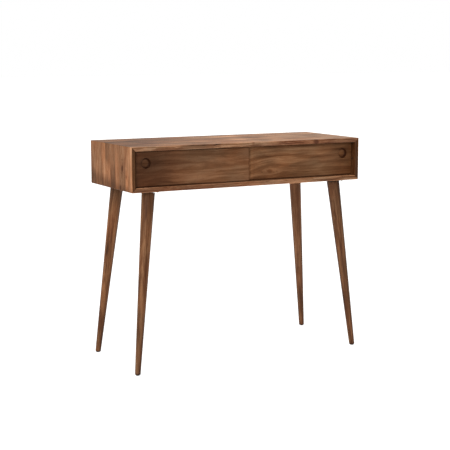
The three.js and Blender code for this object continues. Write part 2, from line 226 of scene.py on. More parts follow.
def set_grain(obj, matrix):
    """Stores each vertex's place in the timber, in metres, for the wood materials."""
    layer = obj.data.attributes.new("grain", "FLOAT_VECTOR", "POINT")
    for vertex, item in zip(obj.data.vertices, layer.data):
        item.vector = matrix @ vertex.co


def finish_piece(obj, material, body, node):
    """Gives a piece its material and ties it to the CAD node that it stands in for."""
    obj.data.materials.clear()
    obj.data.materials.append(material)
    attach(obj, body)
    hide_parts(node)


# ---------------------------------------------------------------- material recipes


class Graph:
    """Short ways to build a node tree."""

    def __init__(self, name):
        self.material = bpy.data.materials.new(name)
        self.material.use_nodes = True
        self.tree = self.material.node_tree
        self.shader = self.tree.nodes["Principled BSDF"]

    def put(self, socket, value):
        if isinstance(value, bpy.types.NodeSocket):
            self.tree.links.new(value, socket)
        else:
            socket.default_value = value

    def node(self, kind, inputs=None, **settings):
        node = self.tree.nodes.new(kind)
        for key, value in settings.items():
            setattr(node, key, value)
        for key, value in (inputs or {}).items():
            self.put(node.inputs[key], value)
        return node

    def math(self, operation, first, second=0.0, third=0.0, clamp=False):
        inputs = {0: first, 1: second, 2: third}
        return self.node("ShaderNodeMath", inputs, operation=operation, use_clamp=clamp).outputs[0]

    def vector(self, x, y, z):
        return self.node("ShaderNodeCombineXYZ", {"X": x, "Y": y, "Z": z}).outputs[0]

    def stretch(self, along, across, through, slow, fast):
        """A place for a noise that changes slowly along the grain and fast across it."""
        return self.vector(
            self.math("MULTIPLY", along, slow),
            self.math("MULTIPLY", across, fast),
            self.math("MULTIPLY", through, fast),
        )

    def dim(self, colour, share):
        """Multiplies every channel by one share."""
        grey_share = self.node("ShaderNodeCombineColor", {0: share, 1: share, 2: share}).outputs[0]
        return self.mix(1.0, colour, grey_share, "MULTIPLY")

    def tint(self, colour, amount, kept):
        """Dims each channel to its kept share where the amount is 1."""
        share = self.mix(amount, (1, 1, 1, 1), (*kept, 1))
        return self.mix(1.0, colour, share, "MULTIPLY")

    def noise(self, vector, scale=1.0, detail=2.0, roughness=0.5, distortion=0.0):
        inputs = {
            "Vector": vector,
            "Scale": scale,
            "Detail": detail,
            "Roughness": roughness,
            "Distortion": distortion,
        }
        return self.node("ShaderNodeTexNoise", inputs).outputs["Fac"]

    def remap(self, value, low, high, to_low=0.0, to_high=1.0):
        """A smooth step from to_low, where the value is low, to to_high, where it is high."""
        inputs = {
            "Value": value,
            "From Min": low,
            "From Max": high,
            "To Min": to_low,
            "To Max": to_high,
        }
        return self.node("ShaderNodeMapRange", inputs, interpolation_type="SMOOTHSTEP").outputs[0]

    def mix(self, factor, first, second, blend="MIX"):
        node = self.node("ShaderNodeMix", data_type="RGBA", blend_type=blend)
        self.put(node.inputs[0], factor)
        self.put(node.inputs[6], first)
        self.put(node.inputs[7], second)
        return node.outputs[2]

    def ramp(self, factor, stops, interpolation="LINEAR"):
        node = self.node("ShaderNodeValToRGB", {"Fac": factor})
        ramp = node.color_ramp
        ramp.interpolation = interpolation
        while len(ramp.elements) < len(stops):
            ramp.elements.new(0.5)
        for element, (position, colour) in zip(ramp.elements, stops):
            element.position = position
            element.color = colour
        return node.outputs["Color"]

    def bump(self, height, strength, distance):
        inputs = {"Height": height, "Strength": strength, "Distance": distance}
        return self.node("ShaderNodeBump", inputs).outputs["Normal"]

    def attribute(self, name, output="Fac"):
        """A value stored on the mesh's vertices."""
        settings = {"attribute_name": name, "attribute_type": "GEOMETRY"}
        return self.node("ShaderNodeAttribute", **settings).outputs[output]

    def object_place(self):
        return self.node("ShaderNodeTexCoord").outputs["Object"]


def grey(value):
    return (value, value, value, 1)


def tone(r, g, b):
    return (r, g, b, 1)


# How quickly each layer of the figure changes along the grain and across it, per metre.
WANDER = (2.2, 7.0)
WAVER = (8.0, 16.0)
STREAKS = (4.6, 78.0)
PATCHES = (7.0, 15.0)
FIBRES = (9.0, 420.0)
PORES = (95.0, 1500.0)
GROWTH_RINGS = (2.6, 105.0)
LATEWOOD = (3.0, 260.0)

STAVE_SHIFT = 3.7  # how far along the tree two glued staves may lie apart
FIBRE_SHARE = 0.2  # part of the fibres in the figure
MIDDLE_FACTOR = 0.49  # about the figure's mean, which more contrast leaves where it is
EDGE_V = 0.7 * MM - HALF_DEPTH  # a case board's sawn front edge lies below this, across the grain
DEPTH_TONE_REACH = 16 * MM  # how deep below the outer face the depth tones and painted shade are drawn
PAINTED_SHADE_TONE = (0.42, 0.27, 0.13)  # share of each channel that full painted shade leaves on the cup's right wall


def pick_stave(g, v, width, tones):
    """(number, tone) of the glued stave at v. Without given tones, the staves are equally wide."""
    if not tones:
        log_start = 5.003  # keeps the first joint clear of the board's middle
        return g.math("FLOOR", g.math("DIVIDE", g.math("ADD", v, log_start), width)), None
    stops = sorted(tones)
    number = g.math("GREATER_THAN", v, stops[1][0])
    for edge, _ in stops[2:]:
        number = g.math("ADD", number, g.math("GREATER_THAN", v, edge))
    stave_tone = g.ramp(
        g.math("MULTIPLY_ADD", number, 1 / len(stops), 0.5 / len(stops)),
        [(i / len(stops), grey(value)) for i, (_, value) in enumerate(stops)],
        "CONSTANT",
    )
    return number, stave_tone


def grow_knots(g, u, v, waver, bend, knots):
    """(the bend of the grain, which each knot pushes aside, and the darkness of the knots' cores)."""
    core = None
    for knot_u, knot_v, radius, strength in knots:
        # A knot is longer along the grain. Its push fades out, and its core has a ragged rim.
        du = g.math("MULTIPLY", g.math("SUBTRACT", u, knot_u), 0.6)
        dv = g.math("SUBTRACT", v, knot_v)
        squares = g.math("ADD", g.math("MULTIPLY", du, du), g.math("MULTIPLY", dv, dv))
        away = g.math("SQRT", squares)
        reach = g.math("DIVIDE", away, radius * 2.8)
        swell = g.math("EXPONENT", g.math("MULTIPLY", g.math("MULTIPLY", reach, reach), -1.0))
        side = g.remap(dv, -radius, radius, -1.0, 1.0)
        push = g.math("MULTIPLY", g.math("MULTIPLY", swell, side), radius * -1.1)
        bend = g.math("ADD", bend, push)
        inward = g.math("SUBTRACT", away, radius * 0.6)
        ragged = g.math("MULTIPLY_ADD", waver, radius * 1.2, inward)
        dark = g.remap(ragged, radius * 0.2, radius * 1.2, 1.0, 0.0)
        spot = g.math("MULTIPLY", dark, strength)
        core = spot if core is None else g.math("MAXIMUM", core, spot)
    return bend, core


def shade_zones(g, colour, u, v, shade):
    """Paints shade and light on the timber, in places its own tone, towards the places that the shade
    list names.
    """
    for zone, (a, b), start, full, kept in shade:
        spot = g.math("MULTIPLY_ADD", u, a, g.math("MULTIPLY", v, b))
        amount = g.remap(spot, start, full)
        if zone != "all":
            inside = g.math("GREATER_THAN" if zone == "face" else "LESS_THAN", v, EDGE_V)
            amount = g.math("MULTIPLY", amount, inside)
        colour = g.tint(colour, amount, kept)
    return colour


def wood(
    name,
    light,
    dark,
    seed,
    from_attribute=True,
    stave=10.0,
    tones=(),
    pith=(0.02, -0.07),
    lean=0.03,
    figure=0.5,
    streaky=0.7,
    drift=0.010,
    arch=None,
    knots=(),
    shade=(),
    depth_tone_and_painted_shade=(),
    gain=(1.0, 1.0, 1.0),
    polish=0.14,
    contrast=1.45,
    busy=1.0,
):
    """Solid timber, cut from a log whose growth runs round a leaning pith.

    A flat face shows long nested arches and an end shows rings. Streaks, fibres, open pores, glued
    staves and knots lie over them. A place in the timber is (u along the grain, v across it,
    w through it).
    stave: how wide the glued staves are, where tones doesn't say.
    tones: [(v, tone)] is the tone of each stave from that place across the grain on.
    pith: (v, w) of the log's middle. lean: how far it wanders through the timber.
    figure, streaky: how much the growth rings and the streaks count.
    drift: how far the grain lines wander across.
    arch: (rise, u, length) lifts the grain lines towards one end, as in a cathedral figure.
    knots: [(u, v, radius, darkness)].
    shade: [(zone, (a, b), start, full, kept)] paints shade and light on the timber, in places its own
    tone. Each channel keeps all of itself where a * u + b * v is start, and its kept share where
    that is full. The zone is the sawn front "edge", the "face" behind it, or "all".
    depth_tone_and_painted_shade: [(depth, kept)] is the tone below the outer face, partly painted
    shade.
    gain: how much of each channel the board keeps.
    polish: how strongly the finish shines.
    busy: how quickly the streaks change along the grain.
    """
    g = Graph(name)
    place = g.attribute("grain", "Vector") if from_attribute else g.object_place()
    parts = g.node("ShaderNodeSeparateXYZ", {0: place}).outputs
    u, v, w = parts[0], parts[1], parts[2]

    # Each stave comes from another piece of the tree.
    number, stave_tone = pick_stave(g, v, stave, tones)
    draw = g.math("ADD", number, seed * 7.31)
    chance = g.node("ShaderNodeTexWhiteNoise", {"W": draw}, noise_dimensions="1D")
    chances = g.node("ShaderNodeSeparateColor", {0: chance.outputs["Color"]}).outputs
    along = g.math("ADD", u, g.math("MULTIPLY_ADD", chances[0], STAVE_SHIFT, seed * 1.913))

    # The wander of the grain lines.
    wander = g.noise(g.stretch(along, v, w, *WANDER))
    waver = g.noise(g.stretch(along, v, w, *WAVER), detail=3.0)
    slow_bend = g.math("MULTIPLY", g.math("SUBTRACT", wander, 0.5), drift * 4)
    quick_bend = g.math("MULTIPLY", g.math("SUBTRACT", waver, 0.5), drift * 1.6)
    bend = g.math("ADD", slow_bend, quick_bend)
    if arch is not None:
        rise, start, length = arch
        fall = g.math("EXPONENT", g.math("DIVIDE", g.math("SUBTRACT", start, u), length))
        bend = g.math("ADD", bend, g.math("MULTIPLY", fall, rise))
    bend, core = grow_knots(g, u, v, waver, bend, knots)

    # Distance to the pith gives the growth figure, drawn out along the grain.
    off_v = g.math("ADD", g.math("SUBTRACT", v, pith[0]), bend)
    lean_w = g.math("MULTIPLY", g.math("SINE", g.math("MULTIPLY", along, 4.3)), lean)
    shift_w = g.math("MULTIPLY_ADD", chances[1], 0.03, lean_w)
    off_w = g.math("ADD", g.math("SUBTRACT", w, pith[1]), shift_w)
    squares = g.math("ADD", g.math("MULTIPLY", off_v, off_v), g.math("MULTIPLY", off_w, off_w))
    distance = g.math("SQRT", squares)

    def rings(scales, layer_seed, **settings):
        slow, fast = scales
        outward, lengthwise = g.math("MULTIPLY", distance, fast), g.math("MULTIPLY", along, slow)
        return g.noise(g.vector(outward, lengthwise, layer_seed), **settings)

    growth = rings(GROWTH_RINGS, seed * 3.3, detail=3.0, roughness=0.62)
    latewood = rings(LATEWOOD, seed * 1.7, detail=1.0)
    late = g.remap(latewood, 0.50, 0.66)

    # Streaks, patches, fibres and open pores.
    flow = g.math("ADD", v, bend)

    def layer(scales, pace=1.0, **settings):
        slow, fast = scales
        return g.noise(g.stretch(along, flow, w, slow * pace, fast), **settings)

    streaks = layer(STREAKS, busy, detail=4.0, roughness=0.68, distortion=0.3)
    patches = layer(PATCHES, detail=2.0)
    fibres = layer(FIBRES, busy, detail=3.0, roughness=0.6)
    pores = layer(PORES, detail=1.0)
    open_pores = g.remap(pores, 0.60, 0.72)

    total = g.math("MULTIPLY", g.remap(growth, 0.32, 0.68), figure * 0.65)
    total = g.math("MULTIPLY_ADD", late, figure * 0.35, total)
    total = g.math("MULTIPLY_ADD", g.remap(streaks, 0.33, 0.67), streaky * 0.85, total)
    total = g.math("MULTIPLY_ADD", g.remap(patches, 0.30, 0.70), streaky * 0.15, total)
    total = g.math("MULTIPLY_ADD", g.remap(fibres, 0.30, 0.70), FIBRE_SHARE, total)
    factor = g.math("DIVIDE", total, figure + streaky + FIBRE_SHARE, clamp=True)
    spread = g.math("SUBTRACT", factor, MIDDLE_FACTOR)
    factor = g.math("MULTIPLY_ADD", spread, contrast, MIDDLE_FACTOR, clamp=True)
    if stave_tone is None:
        factor = g.math("MULTIPLY_ADD", g.math("SUBTRACT", chances[2], 0.5), 0.3, factor, clamp=True)
    if core is not None:
        factor = g.math("MAXIMUM", factor, core)

    light = tone(*[c * k for c, k in zip(light, gain)])
    dark = tone(*[c * k for c, k in zip(dark, gain)])
    middle = tone(*[(a * b) ** 0.5 for a, b in zip(light[:3], dark[:3])])
    deepest = tone(*[c * 0.4 for c in dark[:3]])
    colour = g.ramp(factor, [(0.04, light), (0.48, middle), (0.86, dark), (1.0, deepest)])
    warm = g.mix(g.remap(patches, 0.35, 0.65), tone(1.06, 0.98, 0.92), tone(0.95, 1.01, 1.05))
    colour = g.mix(1.0, colour, warm, "MULTIPLY")
    if stave_tone is not None:
        colour = g.mix(1.0, colour, stave_tone, "MULTIPLY")
    colour = g.mix(g.math("MULTIPLY", open_pores, 0.5), colour, deepest)
    colour = shade_zones(g, colour, u, v, shade)
    # Darker below the outer face: partly the timber's tone, partly painted shade on the inner faces
    # and beside the doors.
    if depth_tone_and_painted_shade:
        depth = g.math("DIVIDE", g.math("ABSOLUTE", w), DEPTH_TONE_REACH)
        kept = g.ramp(depth, [(level / DEPTH_TONE_REACH, tone(*share)) for level, share in depth_tone_and_painted_shade])
        colour = g.mix(1.0, colour, kept, "MULTIPLY")

    # Eased edges are rubbed paler, strengthened into a painted highlight. In the cup, painted light
    # brightens the floor and the left side, and painted shade darkens the right wall.
    paler_share = g.math("MULTIPLY", g.attribute("wear_and_painted_light"), g.remap(waver, 0.3, 0.6, 0.15, 1.0))
    colour = g.dim(colour, g.math("MULTIPLY_ADD", paler_share, 0.7, 1.0))
    colour = g.tint(colour, g.attribute("stain_and_painted_shade"), PAINTED_SHADE_TONE)

    g.put(g.shader.inputs["Base Color"], colour)
    rough = g.math("MULTIPLY_ADD", fibres, 0.14, g.math("MULTIPLY", open_pores, 0.16))
    g.put(g.shader.inputs["Roughness"], g.math("ADD", rough, 0.40))
    height = g.math("SUBTRACT", g.math("MULTIPLY", fibres, 0.35), open_pores)
    height = g.math("SUBTRACT", height, g.math("MULTIPLY", late, 0.25))
    g.put(g.shader.inputs["Normal"], g.bump(height, 0.35, 0.00012))
    g.put(g.shader.inputs["Specular IOR Level"], polish)
    return g.material


def metal(name, base, stain_and_painted_shade, roughness):
    """Plated or blackened steel: cloudy colour, worn patches and fine scratches."""
    g = Graph(name)
    place = g.object_place()
    clouds = g.noise(place, 160.0, 4.0, 0.6)
    specks = g.noise(place, 1400.0, 2.0)
    drawn = g.node("ShaderNodeMapping", {"Vector": place, "Scale": (3000, 180, 900)}).outputs[0]
    lines = g.noise(drawn, 1.0, 2.0)
    g.put(g.shader.inputs["Base Color"], g.mix(g.remap(clouds, 0.35, 0.68), base, stain_and_painted_shade))
    g.put(g.shader.inputs["Metallic"], 1.0)
    rough = g.math("MULTIPLY_ADD", clouds, 0.22, roughness)
    g.put(g.shader.inputs["Roughness"], g.math("MULTIPLY_ADD", lines, 0.12, rough))
    g.put(g.shader.inputs["Normal"], g.bump(g.math("ADD", lines, specks), 0.25, 0.00005))
    return g.material


def moulded(name, base, worn, roughness, pitch, polish):
    """Nylon or felt: mottled, with a fine raised texture."""
    g = Graph(name)
    place = g.object_place()
    fine = g.noise(place, pitch, 3.0, 0.65)
    broad = g.noise(place, pitch * 0.08, 2.0)
    paler_share = g.remap(g.math("ADD", fine, broad), 0.8, 1.25)
    g.put(g.shader.inputs["Base Color"], g.mix(paler_share, base, worn))
    g.put(g.shader.inputs["Roughness"], g.math("MULTIPLY_ADD", fine, 0.2, roughness))
    g.put(g.shader.inputs["Normal"], g.bump(fine, 0.5, 0.0001))
    g.put(g.shader.inputs["Specular IOR Level"], polish)
    return g.material


# ---------------------------------------------------------------- the materials

# Walnut tones, from pale streaks to dark latewood: the case, the doors, the legs and the back.
CASE_LIGHT, CASE_DARK = (0.275, 0.135, 0.070), (0.095, 0.0325, 0.0120)
FRONT_LIGHT, FRONT_DARK = (0.195, 0.094, 0.045), (0.073, 0.026, 0.0088)
LEG_LIGHT, LEG_DARK = (0.212, 0.103, 0.054), (0.066, 0.023, 0.0092)
PLY_LIGHT, PLY_DARK = (0.255, 0.132, 0.068), (0.140, 0.066, 0.032)

# The gains, staves, shades and depth tones are tuned for the view from the front left, and hold
# some of the light and shadow of that view, as painted light and shade.

top_wood = wood(
    "walnut top",
    CASE_LIGHT,
    CASE_DARK,
    seed=1.0,
    tones=[
        (-0.200, 1.02), (EDGE_V, 1.03), (-0.095, 0.93),
        (-0.015, 0.80), (0.075, 1.08), (0.135, 0.94),
    ],
    pith=(0.0, -0.09),
    knots=[(0.009, -0.173, 0.006, 0.74), (0.264, -0.178, 0.009, 0.86)],
    shade=[
        # Painted shade darkens the face towards the left and back. The right end is cooler, and the
        # front edge darker towards the right.
        ("face", (1, -0.6), 0.02, -0.44, (0.54, 0.47, 0.39)),
        ("face", (1, 0), -0.05, 0.44, (0.84, 0.94, 1.02)),
        ("edge", (1, 0), -0.03, 0.16, (0.64, 0.50, 0.42)),
    ],
    gain=(0.88, 1.00, 1.08),
    figure=0.35,
    streaky=1.0,
    contrast=1.75,
)
bottom_wood = wood(
    "walnut bottom",
    CASE_LIGHT,
    CASE_DARK,
    seed=2.0,
    tones=[(-0.2, 0.84), (EDGE_V, 1.0), (-0.088, 0.9), (0.0, 1.05), (0.088, 0.95)],
    pith=(0.03, -0.08),
    knots=[(-0.295, -0.173, 0.006, 0.72), (-0.250, -0.173, 0.006, 0.76)],
    shade=[("edge", (1, 0), 0.26, 0.02, (0.84, 0.74, 0.70))],
    gain=(0.96, 1.06, 1.10),
    polish=0.10,
)
left_wood = wood(
    "walnut left side",
    CASE_LIGHT,
    CASE_DARK,
    seed=3.0,
    tones=[
        # The front stave is painted paler: a painted highlight along the front edge.
        (-0.200, 1.72), (-0.164, 1.22), (-0.146, 1.12), (-0.125, 0.88), (-0.072, 1.04),
        (-0.040, 0.80), (0.002, 0.96), (0.046, 1.12), (0.080, 1.00), (0.132, 0.84),
    ],
    drift=0.008,
    knots=[
        (0.000, -0.096, 0.0130, 0.96),
        (-0.026, -0.130, 0.0090, 0.92),
        (-0.066, -0.080, 0.0075, 0.88),
    ],
    shade=[
        # darker towards the bottom and the back
        ("all", (-1, 0.12), 0.030, 0.066, (0.55, 0.52, 0.49)),
        # painted highlight: paler and less saturated at the front edge
        ("all", (0, 1), -0.158, -0.165, (1.00, 1.08, 1.16)),
    ],
    # Darker below the outer face, partly the timber's tone. The band from about 12 to 14 mm is
    # painted shade beside the door's gap, and the inner face gets painted shade.
    depth_tone_and_painted_shade=[
        (0.0, (1, 1, 1)),
        (0.0005, (1, 1, 1)),
        (0.0022, (0.32, 0.28, 0.25)),
        (0.0108, (0.30, 0.27, 0.23)),
        (0.0118, (0.10, 0.07, 0.04)),
        (0.0143, (0.10, 0.07, 0.04)),
        (0.0149, (0.45, 0.42, 0.38)),
    ],
    figure=0.3,
    streaky=0.7,
    gain=(0.71, 0.755, 0.775),
    polish=0.02,
    contrast=0.70,
    busy=2.6,
)
right_wood = wood(
    "walnut right side",
    CASE_LIGHT,
    CASE_DARK,
    seed=4.0,
    stave=0.06,
    drift=0.014,
    # Darker below the outer face, on the front edge and the inner face: partly the timber's tone,
    # partly painted shade.
    depth_tone_and_painted_shade=[
        (0.0, (1, 1, 1)),
        (0.0008, (1, 1, 1)),
        (0.0022, (0.24, 0.22, 0.20)),
        (0.0130, (0.26, 0.24, 0.22)),
        (0.0149, (0.46, 0.42, 0.37)),
    ],
    gain=(0.66, 0.65, 0.55),
    polish=0.08,
)
left_door_wood = wood(
    "walnut left door",
    FRONT_LIGHT,
    FRONT_DARK,
    seed=5.0,
    pith=(0.045, -0.10),
    figure=0.5,
    streaky=0.7,
    drift=0.012,
    shade=[
        # Darker towards the left end: partly the timber's own tone, partly painted shade beside the
        # side board.
        ("all", (1, 0), -0.15, -0.44, (0.57, 0.48, 0.43)),
        # painted shade along the seam at the door's right end
        ("all", (1, 0), -0.0044, -0.0034, (0.62, 0.53, 0.42)),
    ],
    gain=(0.535, 0.555, 0.59),
    polish=0.05,
    contrast=0.95,
)
right_door_wood = wood(
    "walnut right door",
    FRONT_LIGHT,
    FRONT_DARK,
    seed=6.0,
    pith=(-0.03, -0.085),
    lean=0.008,
    figure=0.6,
    streaky=0.6,
    drift=0.0045,
    arch=(0.017, 0.0, 0.05),
    knots=[(0.088, -0.030, 0.010, 0.65)],
    shade=[
        # Darker towards the right end: partly the timber's own tone, partly painted shade from the
        # right side board.
        ("all", (1, 0), 0.26, 0.44, (0.72, 0.60, 0.48)),
        # darker along the top and the bottom towards the right end
        ("all", (0.15, 1), 0.074, 0.096, (0.76, 0.72, 0.68)),
        ("all", (0.15, -1), 0.074, 0.096, (0.74, 0.68, 0.62)),
        # painted light beside the seam, against the shadow that the left door casts
        ("all", (1, 0), 0.0250, 0.0100, (1.22, 1.22, 1.20)),
    ],
    gain=(0.645, 0.670, 0.685),
    polish=0.05,
    contrast=1.30,
)
leg_gains = {
    "front_left": (0.76, 0.70, 0.57),
    "front_right": (0.64, 0.62, 0.53),
    "back_left": (0.92, 0.86, 0.70),
    "back_right": (0.96, 0.92, 0.82),
}
# The legs are darker towards the foot. At the back left leg's top, painted shade falls under the
# case.
leg_shades = {
    "front_left": [("all", (-1, 0), -0.36, -0.16, (0.74, 0.74, 0.74))],
    "front_right": [],
    "back_left": [
        ("all", (-1, 0), -0.26, -0.14, (0.68, 0.70, 0.70)),
        ("all", (1, 0), 0.44, 0.58, (0.66, 0.68, 0.70)),
    ],
    "back_right": [("all", (-1, 0), -0.35, -0.22, (0.72, 0.72, 0.73))],
}
FOOT_SHADE = ("all", (1, 0), 0.0095, 0.0035, (0.42, 0.37, 0.33))  # painted shade on the foot's rounded end
leg_wood = {
    name: wood(
        f"walnut {name} leg",
        LEG_LIGHT,
        LEG_DARK,
        seed=11.0 + i,
        pith=(0.05, -0.06),
        drift=0.006,
        shade=[*leg_shades[name], FOOT_SHADE],
        gain=leg_gains[name],
        polish=0.10,
    )
    for i, name in enumerate(CORNERS)
}
divider_wood = wood("walnut divider", CASE_LIGHT, CASE_DARK, seed=21.0, from_attribute=False)
back_wood = wood(
    "walnut plywood",
    PLY_LIGHT,
    PLY_DARK,
    seed=22.0,
    from_attribute=False,
    figure=0.35,
    streaky=0.4,
)
spline_wood = wood("spline plywood", PLY_LIGHT, PLY_DARK, seed=23.0, from_attribute=False)
black_steel = metal(
    "black steel", tone(0.035, 0.035, 0.037), tone(0.075, 0.072, 0.070), roughness=0.38
)
zinc_steel = metal("zinc steel", tone(0.62, 0.62, 0.60), tone(0.47, 0.46, 0.42), roughness=0.24)
nylon = moulded(
    "black nylon",
    tone(0.014, 0.013, 0.012),
    tone(0.035, 0.032, 0.029),
    roughness=0.42,
    pitch=900.0,
    polish=0.5,
)
felt = moulded(
    "brown felt",
    tone(0.030, 0.013, 0.007),
    tone(0.050, 0.024, 0.013),
    roughness=0.85,
    pitch=2600.0,
    polish=0.02,
)


# ---------------------------------------------------------------- case boards


def mitred_outline(half_long, outer, inner_half, inner, gap=0.0):
    """The outline of a board with mitred ends and an eased outer corner.

    a runs along the board and b through it, from the outer face to the inner one.
    """
    step = 1 if outer > inner else -1
    r = EDGE_EASE
    points = []
    for side in (1, -1):
        end = []
        for i, t in enumerate((0, 11.25, 22.5, 33.75, 45)):
            angle = math.radians(t)
            a = side * (half_long - r) + side * r * math.sin(angle)
            b = outer - step * r + step * r * math.cos(angle)
            end.append((a - side * gap * (i > 0), b))
        end.append((side * (inner_half - gap), inner))
        points += end if side == 1 else list(reversed(end))
    return points


def groove_cutters(low_z, high_z):
    """The two door grooves, from end to end of the opening."""
    cutters = []
    for low, high in TRACKS.values():
        middle = (low.y + high.y) / 2
        near, far = middle - GROOVE_HALF, middle + GROOVE_HALF
        cutters.append(box_object((-HALF_INSIDE, near, low_z), (HALF_INSIDE, far, high_z)))
    return cutters


def rebate_cutter(low, high):
    """The step round the back of the case that takes the back panel, from (x, z) to (x, z)."""
    return box_object((low[0], REBATE_Y, low[1]), (high[0], HALF_DEPTH + OVERCUT, high[1]))


def case_board(name, outline, grain, cutters, material):
    """A mitred board whose front and back edges are eased, but not the mitre itself."""
    bm = prism(outline, "XZ", -HALF_DEPTH, HALF_DEPTH)

    def is_face_edge(a, b):
        at_end = abs(abs(a.y) - HALF_DEPTH) < NEAR and abs(a.y - b.y) < NEAR
        flat = (Vector(b) - Vector(a)).normalized()
        slanted = abs(abs(flat.x) - abs(flat.z)) < 0.05
        return at_end and not slanted

    ease(bm, is_face_edge, EDGE_EASE, 4)
    obj = link(name, bm)
    carve(obj, cutters)
    smooth(obj)
    set_grain(obj, grain)
    finish_piece(obj, material, "table_frame", name)


case_board(
    "top_panel",
    mitred_outline(HALF_WIDTH, TOP_Z, HALF_INSIDE, CEILING_Z),
    grain_axes((1, 0, 0), (0, 1, 0), (0, 0, TOP_Z)),
    groove_cutters(CEILING_Z - OVERCUT, CEILING_Z + UPPER_GROOVE_DEPTH)
    + [
        rebate_cutter(
            (-HALF_WIDTH, CEILING_Z - OVERCUT),
            (HALF_WIDTH, BACK_HIGH.z + BACK_CLEARANCE),
        )
    ],
    top_wood,
)
case_board(
    "bottom_panel",
    mitred_outline(HALF_WIDTH, UNDERSIDE_Z, HALF_INSIDE, FLOOR_Z),
    grain_axes((1, 0, 0), (0, 1, 0), (0, 0, UNDERSIDE_Z)),
    groove_cutters(TRACKS["front"][0].z, FLOOR_Z + OVERCUT)
    + [
        rebate_cutter(
            (-HALF_WIDTH, BACK_LOW.z - BACK_CLEARANCE),
            (HALF_WIDTH, FLOOR_Z + OVERCUT),
        )
    ],
    bottom_wood,
)

half_height = (TOP_Z - UNDERSIDE_Z) / 2
for side, side_name, side_wood in ((-1, "left", left_wood), (1, "right", right_wood)):
    flat_outline = mitred_outline(
        half_height, HALF_WIDTH, half_height - BOARD, HALF_INSIDE, SIDE_MITRE_GAP
    )
    side_outline = [(side * b, CASE_MIDDLE_Z + a) for a, b in flat_outline]
    if side == 1:
        side_outline.reverse()
    low_x, high_x = sorted((side * (HALF_INSIDE - OVERCUT), side * (HALF_INSIDE + REBATE)))
    case_board(
        f"{side_name}_side_panel",
        side_outline,
        grain_axes((0, 0, 1), (0, 1, 0), (side * HALF_WIDTH, 0, CASE_MIDDLE_Z)),
        [rebate_cutter((low_x, UNDERSIDE_Z - OVERCUT), (high_x, TOP_Z + OVERCUT))],
        side_wood,
    )


# ---------------------------------------------------------------- doors

CUP_RADIUS = 17.5 * MM
CUP_DEPTH = 8 * MM
CUP_FILLET = 6 * MM  # where the wall curves into the floor
CUP_RIM = 0.7 * MM
CUP_INSET = 38 * MM  # from the door's outer end to the cup's centre
CUP_Z = UNDERSIDE_Z + 95 * MM
CUP_SIDES = 96
DOOR_EASE = 0.9 * MM
TONGUE_HALF = 2.5 * MM
LOWER_SHOULDER = FLOOR_Z + 4.5 * MM
UPPER_SHOULDER = CEILING_Z - 2.5 * MM


def cup_cutter(x, face_y):
    """What a core-box cutter takes out: a wall that curves into the floor, and an eased rim."""
    profile = [(CUP_RADIUS * share, CUP_DEPTH) for share in (0, 0.3, 0.52)]
    for t in range(0, 91, 15):
        angle = math.radians(t)
        radius = CUP_RADIUS - CUP_FILLET + CUP_FILLET * math.sin(angle)
        profile.append((radius, CUP_DEPTH - CUP_FILLET + CUP_FILLET * math.cos(angle)))
    for t in (0, 22.5, 45, 67.5, 88):
        angle = math.radians(t)
        radius = CUP_RADIUS + CUP_RIM - CUP_RIM * math.cos(angle)
        profile.append((radius, CUP_RIM - CUP_RIM * math.sin(angle)))
    above = -1 * MM  # the cutter ends in the air in front of the door
    profile += [(CUP_RADIUS + CUP_RIM * 1.05, above), (0, above)]
    turn = Matrix.Rotation(math.radians(-90), 4, "X")
    return lathe("cutter", profile, CUP_SIDES, Matrix.Translation((x, face_y, CUP_Z)) @ turn)


def paint_cup_shade_and_light(obj, x, face_y):
    """Marks the cup's vertices: painted shade darkens the right wall, and painted light brightens the
    floor and the left side.
    """
    stain_and_painted_shade = obj.data.attributes.new("stain_and_painted_shade", "FLOAT", "POINT").data
    wear_and_painted_light = obj.data.attributes["wear_and_painted_light"].data
    for i, vertex in enumerate(obj.data.vertices):
        depth = vertex.co.y - face_y
        away = math.hypot(vertex.co.x - x, vertex.co.z - CUP_Z)
        if away < CUP_RADIUS + 0.5 * MM and 0.3 * MM < depth < CUP_DEPTH + 0.1 * MM:
            # The floor turns up into the wall from 0.64 of the radius, and is all wall by 0.8.
            rightward = (vertex.co.x - x) / CUP_RADIUS
            on_wall = clamp((away / CUP_RADIUS - 0.64) / 0.16)
            stain_and_painted_shade[i].value = on_wall * clamp(0.9 + 1.4 * rightward)
            wear_and_painted_light[i].value = 1.2 * max(1 - on_wall, clamp(-0.2 - 1.4 * rightward))


def door(name, pull_side, material):
    """A flat door with a tongue along its top and its bottom, and a cup near its outer end."""
    low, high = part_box(name)
    middle = (low.y + high.y) / 2
    near, far = middle - TONGUE_HALF, middle + TONGUE_HALF
    outline = [
        (low.y, LOWER_SHOULDER),
        (near, LOWER_SHOULDER),
        (near, low.z),
        (far, low.z),
        (far, LOWER_SHOULDER),
        (high.y, LOWER_SHOULDER),
        (high.y, UPPER_SHOULDER),
        (far, UPPER_SHOULDER),
        (far, high.z),
        (near, high.z),
        (near, UPPER_SHOULDER),
        (low.y, UPPER_SHOULDER),
    ]
    bm = prism(outline, "YZ", low.x, high.x)

    def is_face_edge(a, b):
        return any(abs(a.y - y) < NEAR and abs(b.y - y) < NEAR for y in (low.y, high.y))

    ease(bm, is_face_edge, DOOR_EASE)
    obj = link(name, bm)
    cup_x = (low.x if pull_side < 0 else high.x) - pull_side * CUP_INSET
    carve(obj, [cup_cutter(cup_x, low.y)])
    paint_cup_shade_and_light(obj, cup_x, low.y)
    smooth(obj)
    set_grain(obj, grain_axes((1, 0, 0), (0, 0, 1), (0, low.y, CASE_MIDDLE_Z)))
    finish_piece(obj, material, name, name)


door("left_door", -1, left_door_wood)
door("right_door", 1, right_door_wood)


# ---------------------------------------------------------------- legs and their hardware

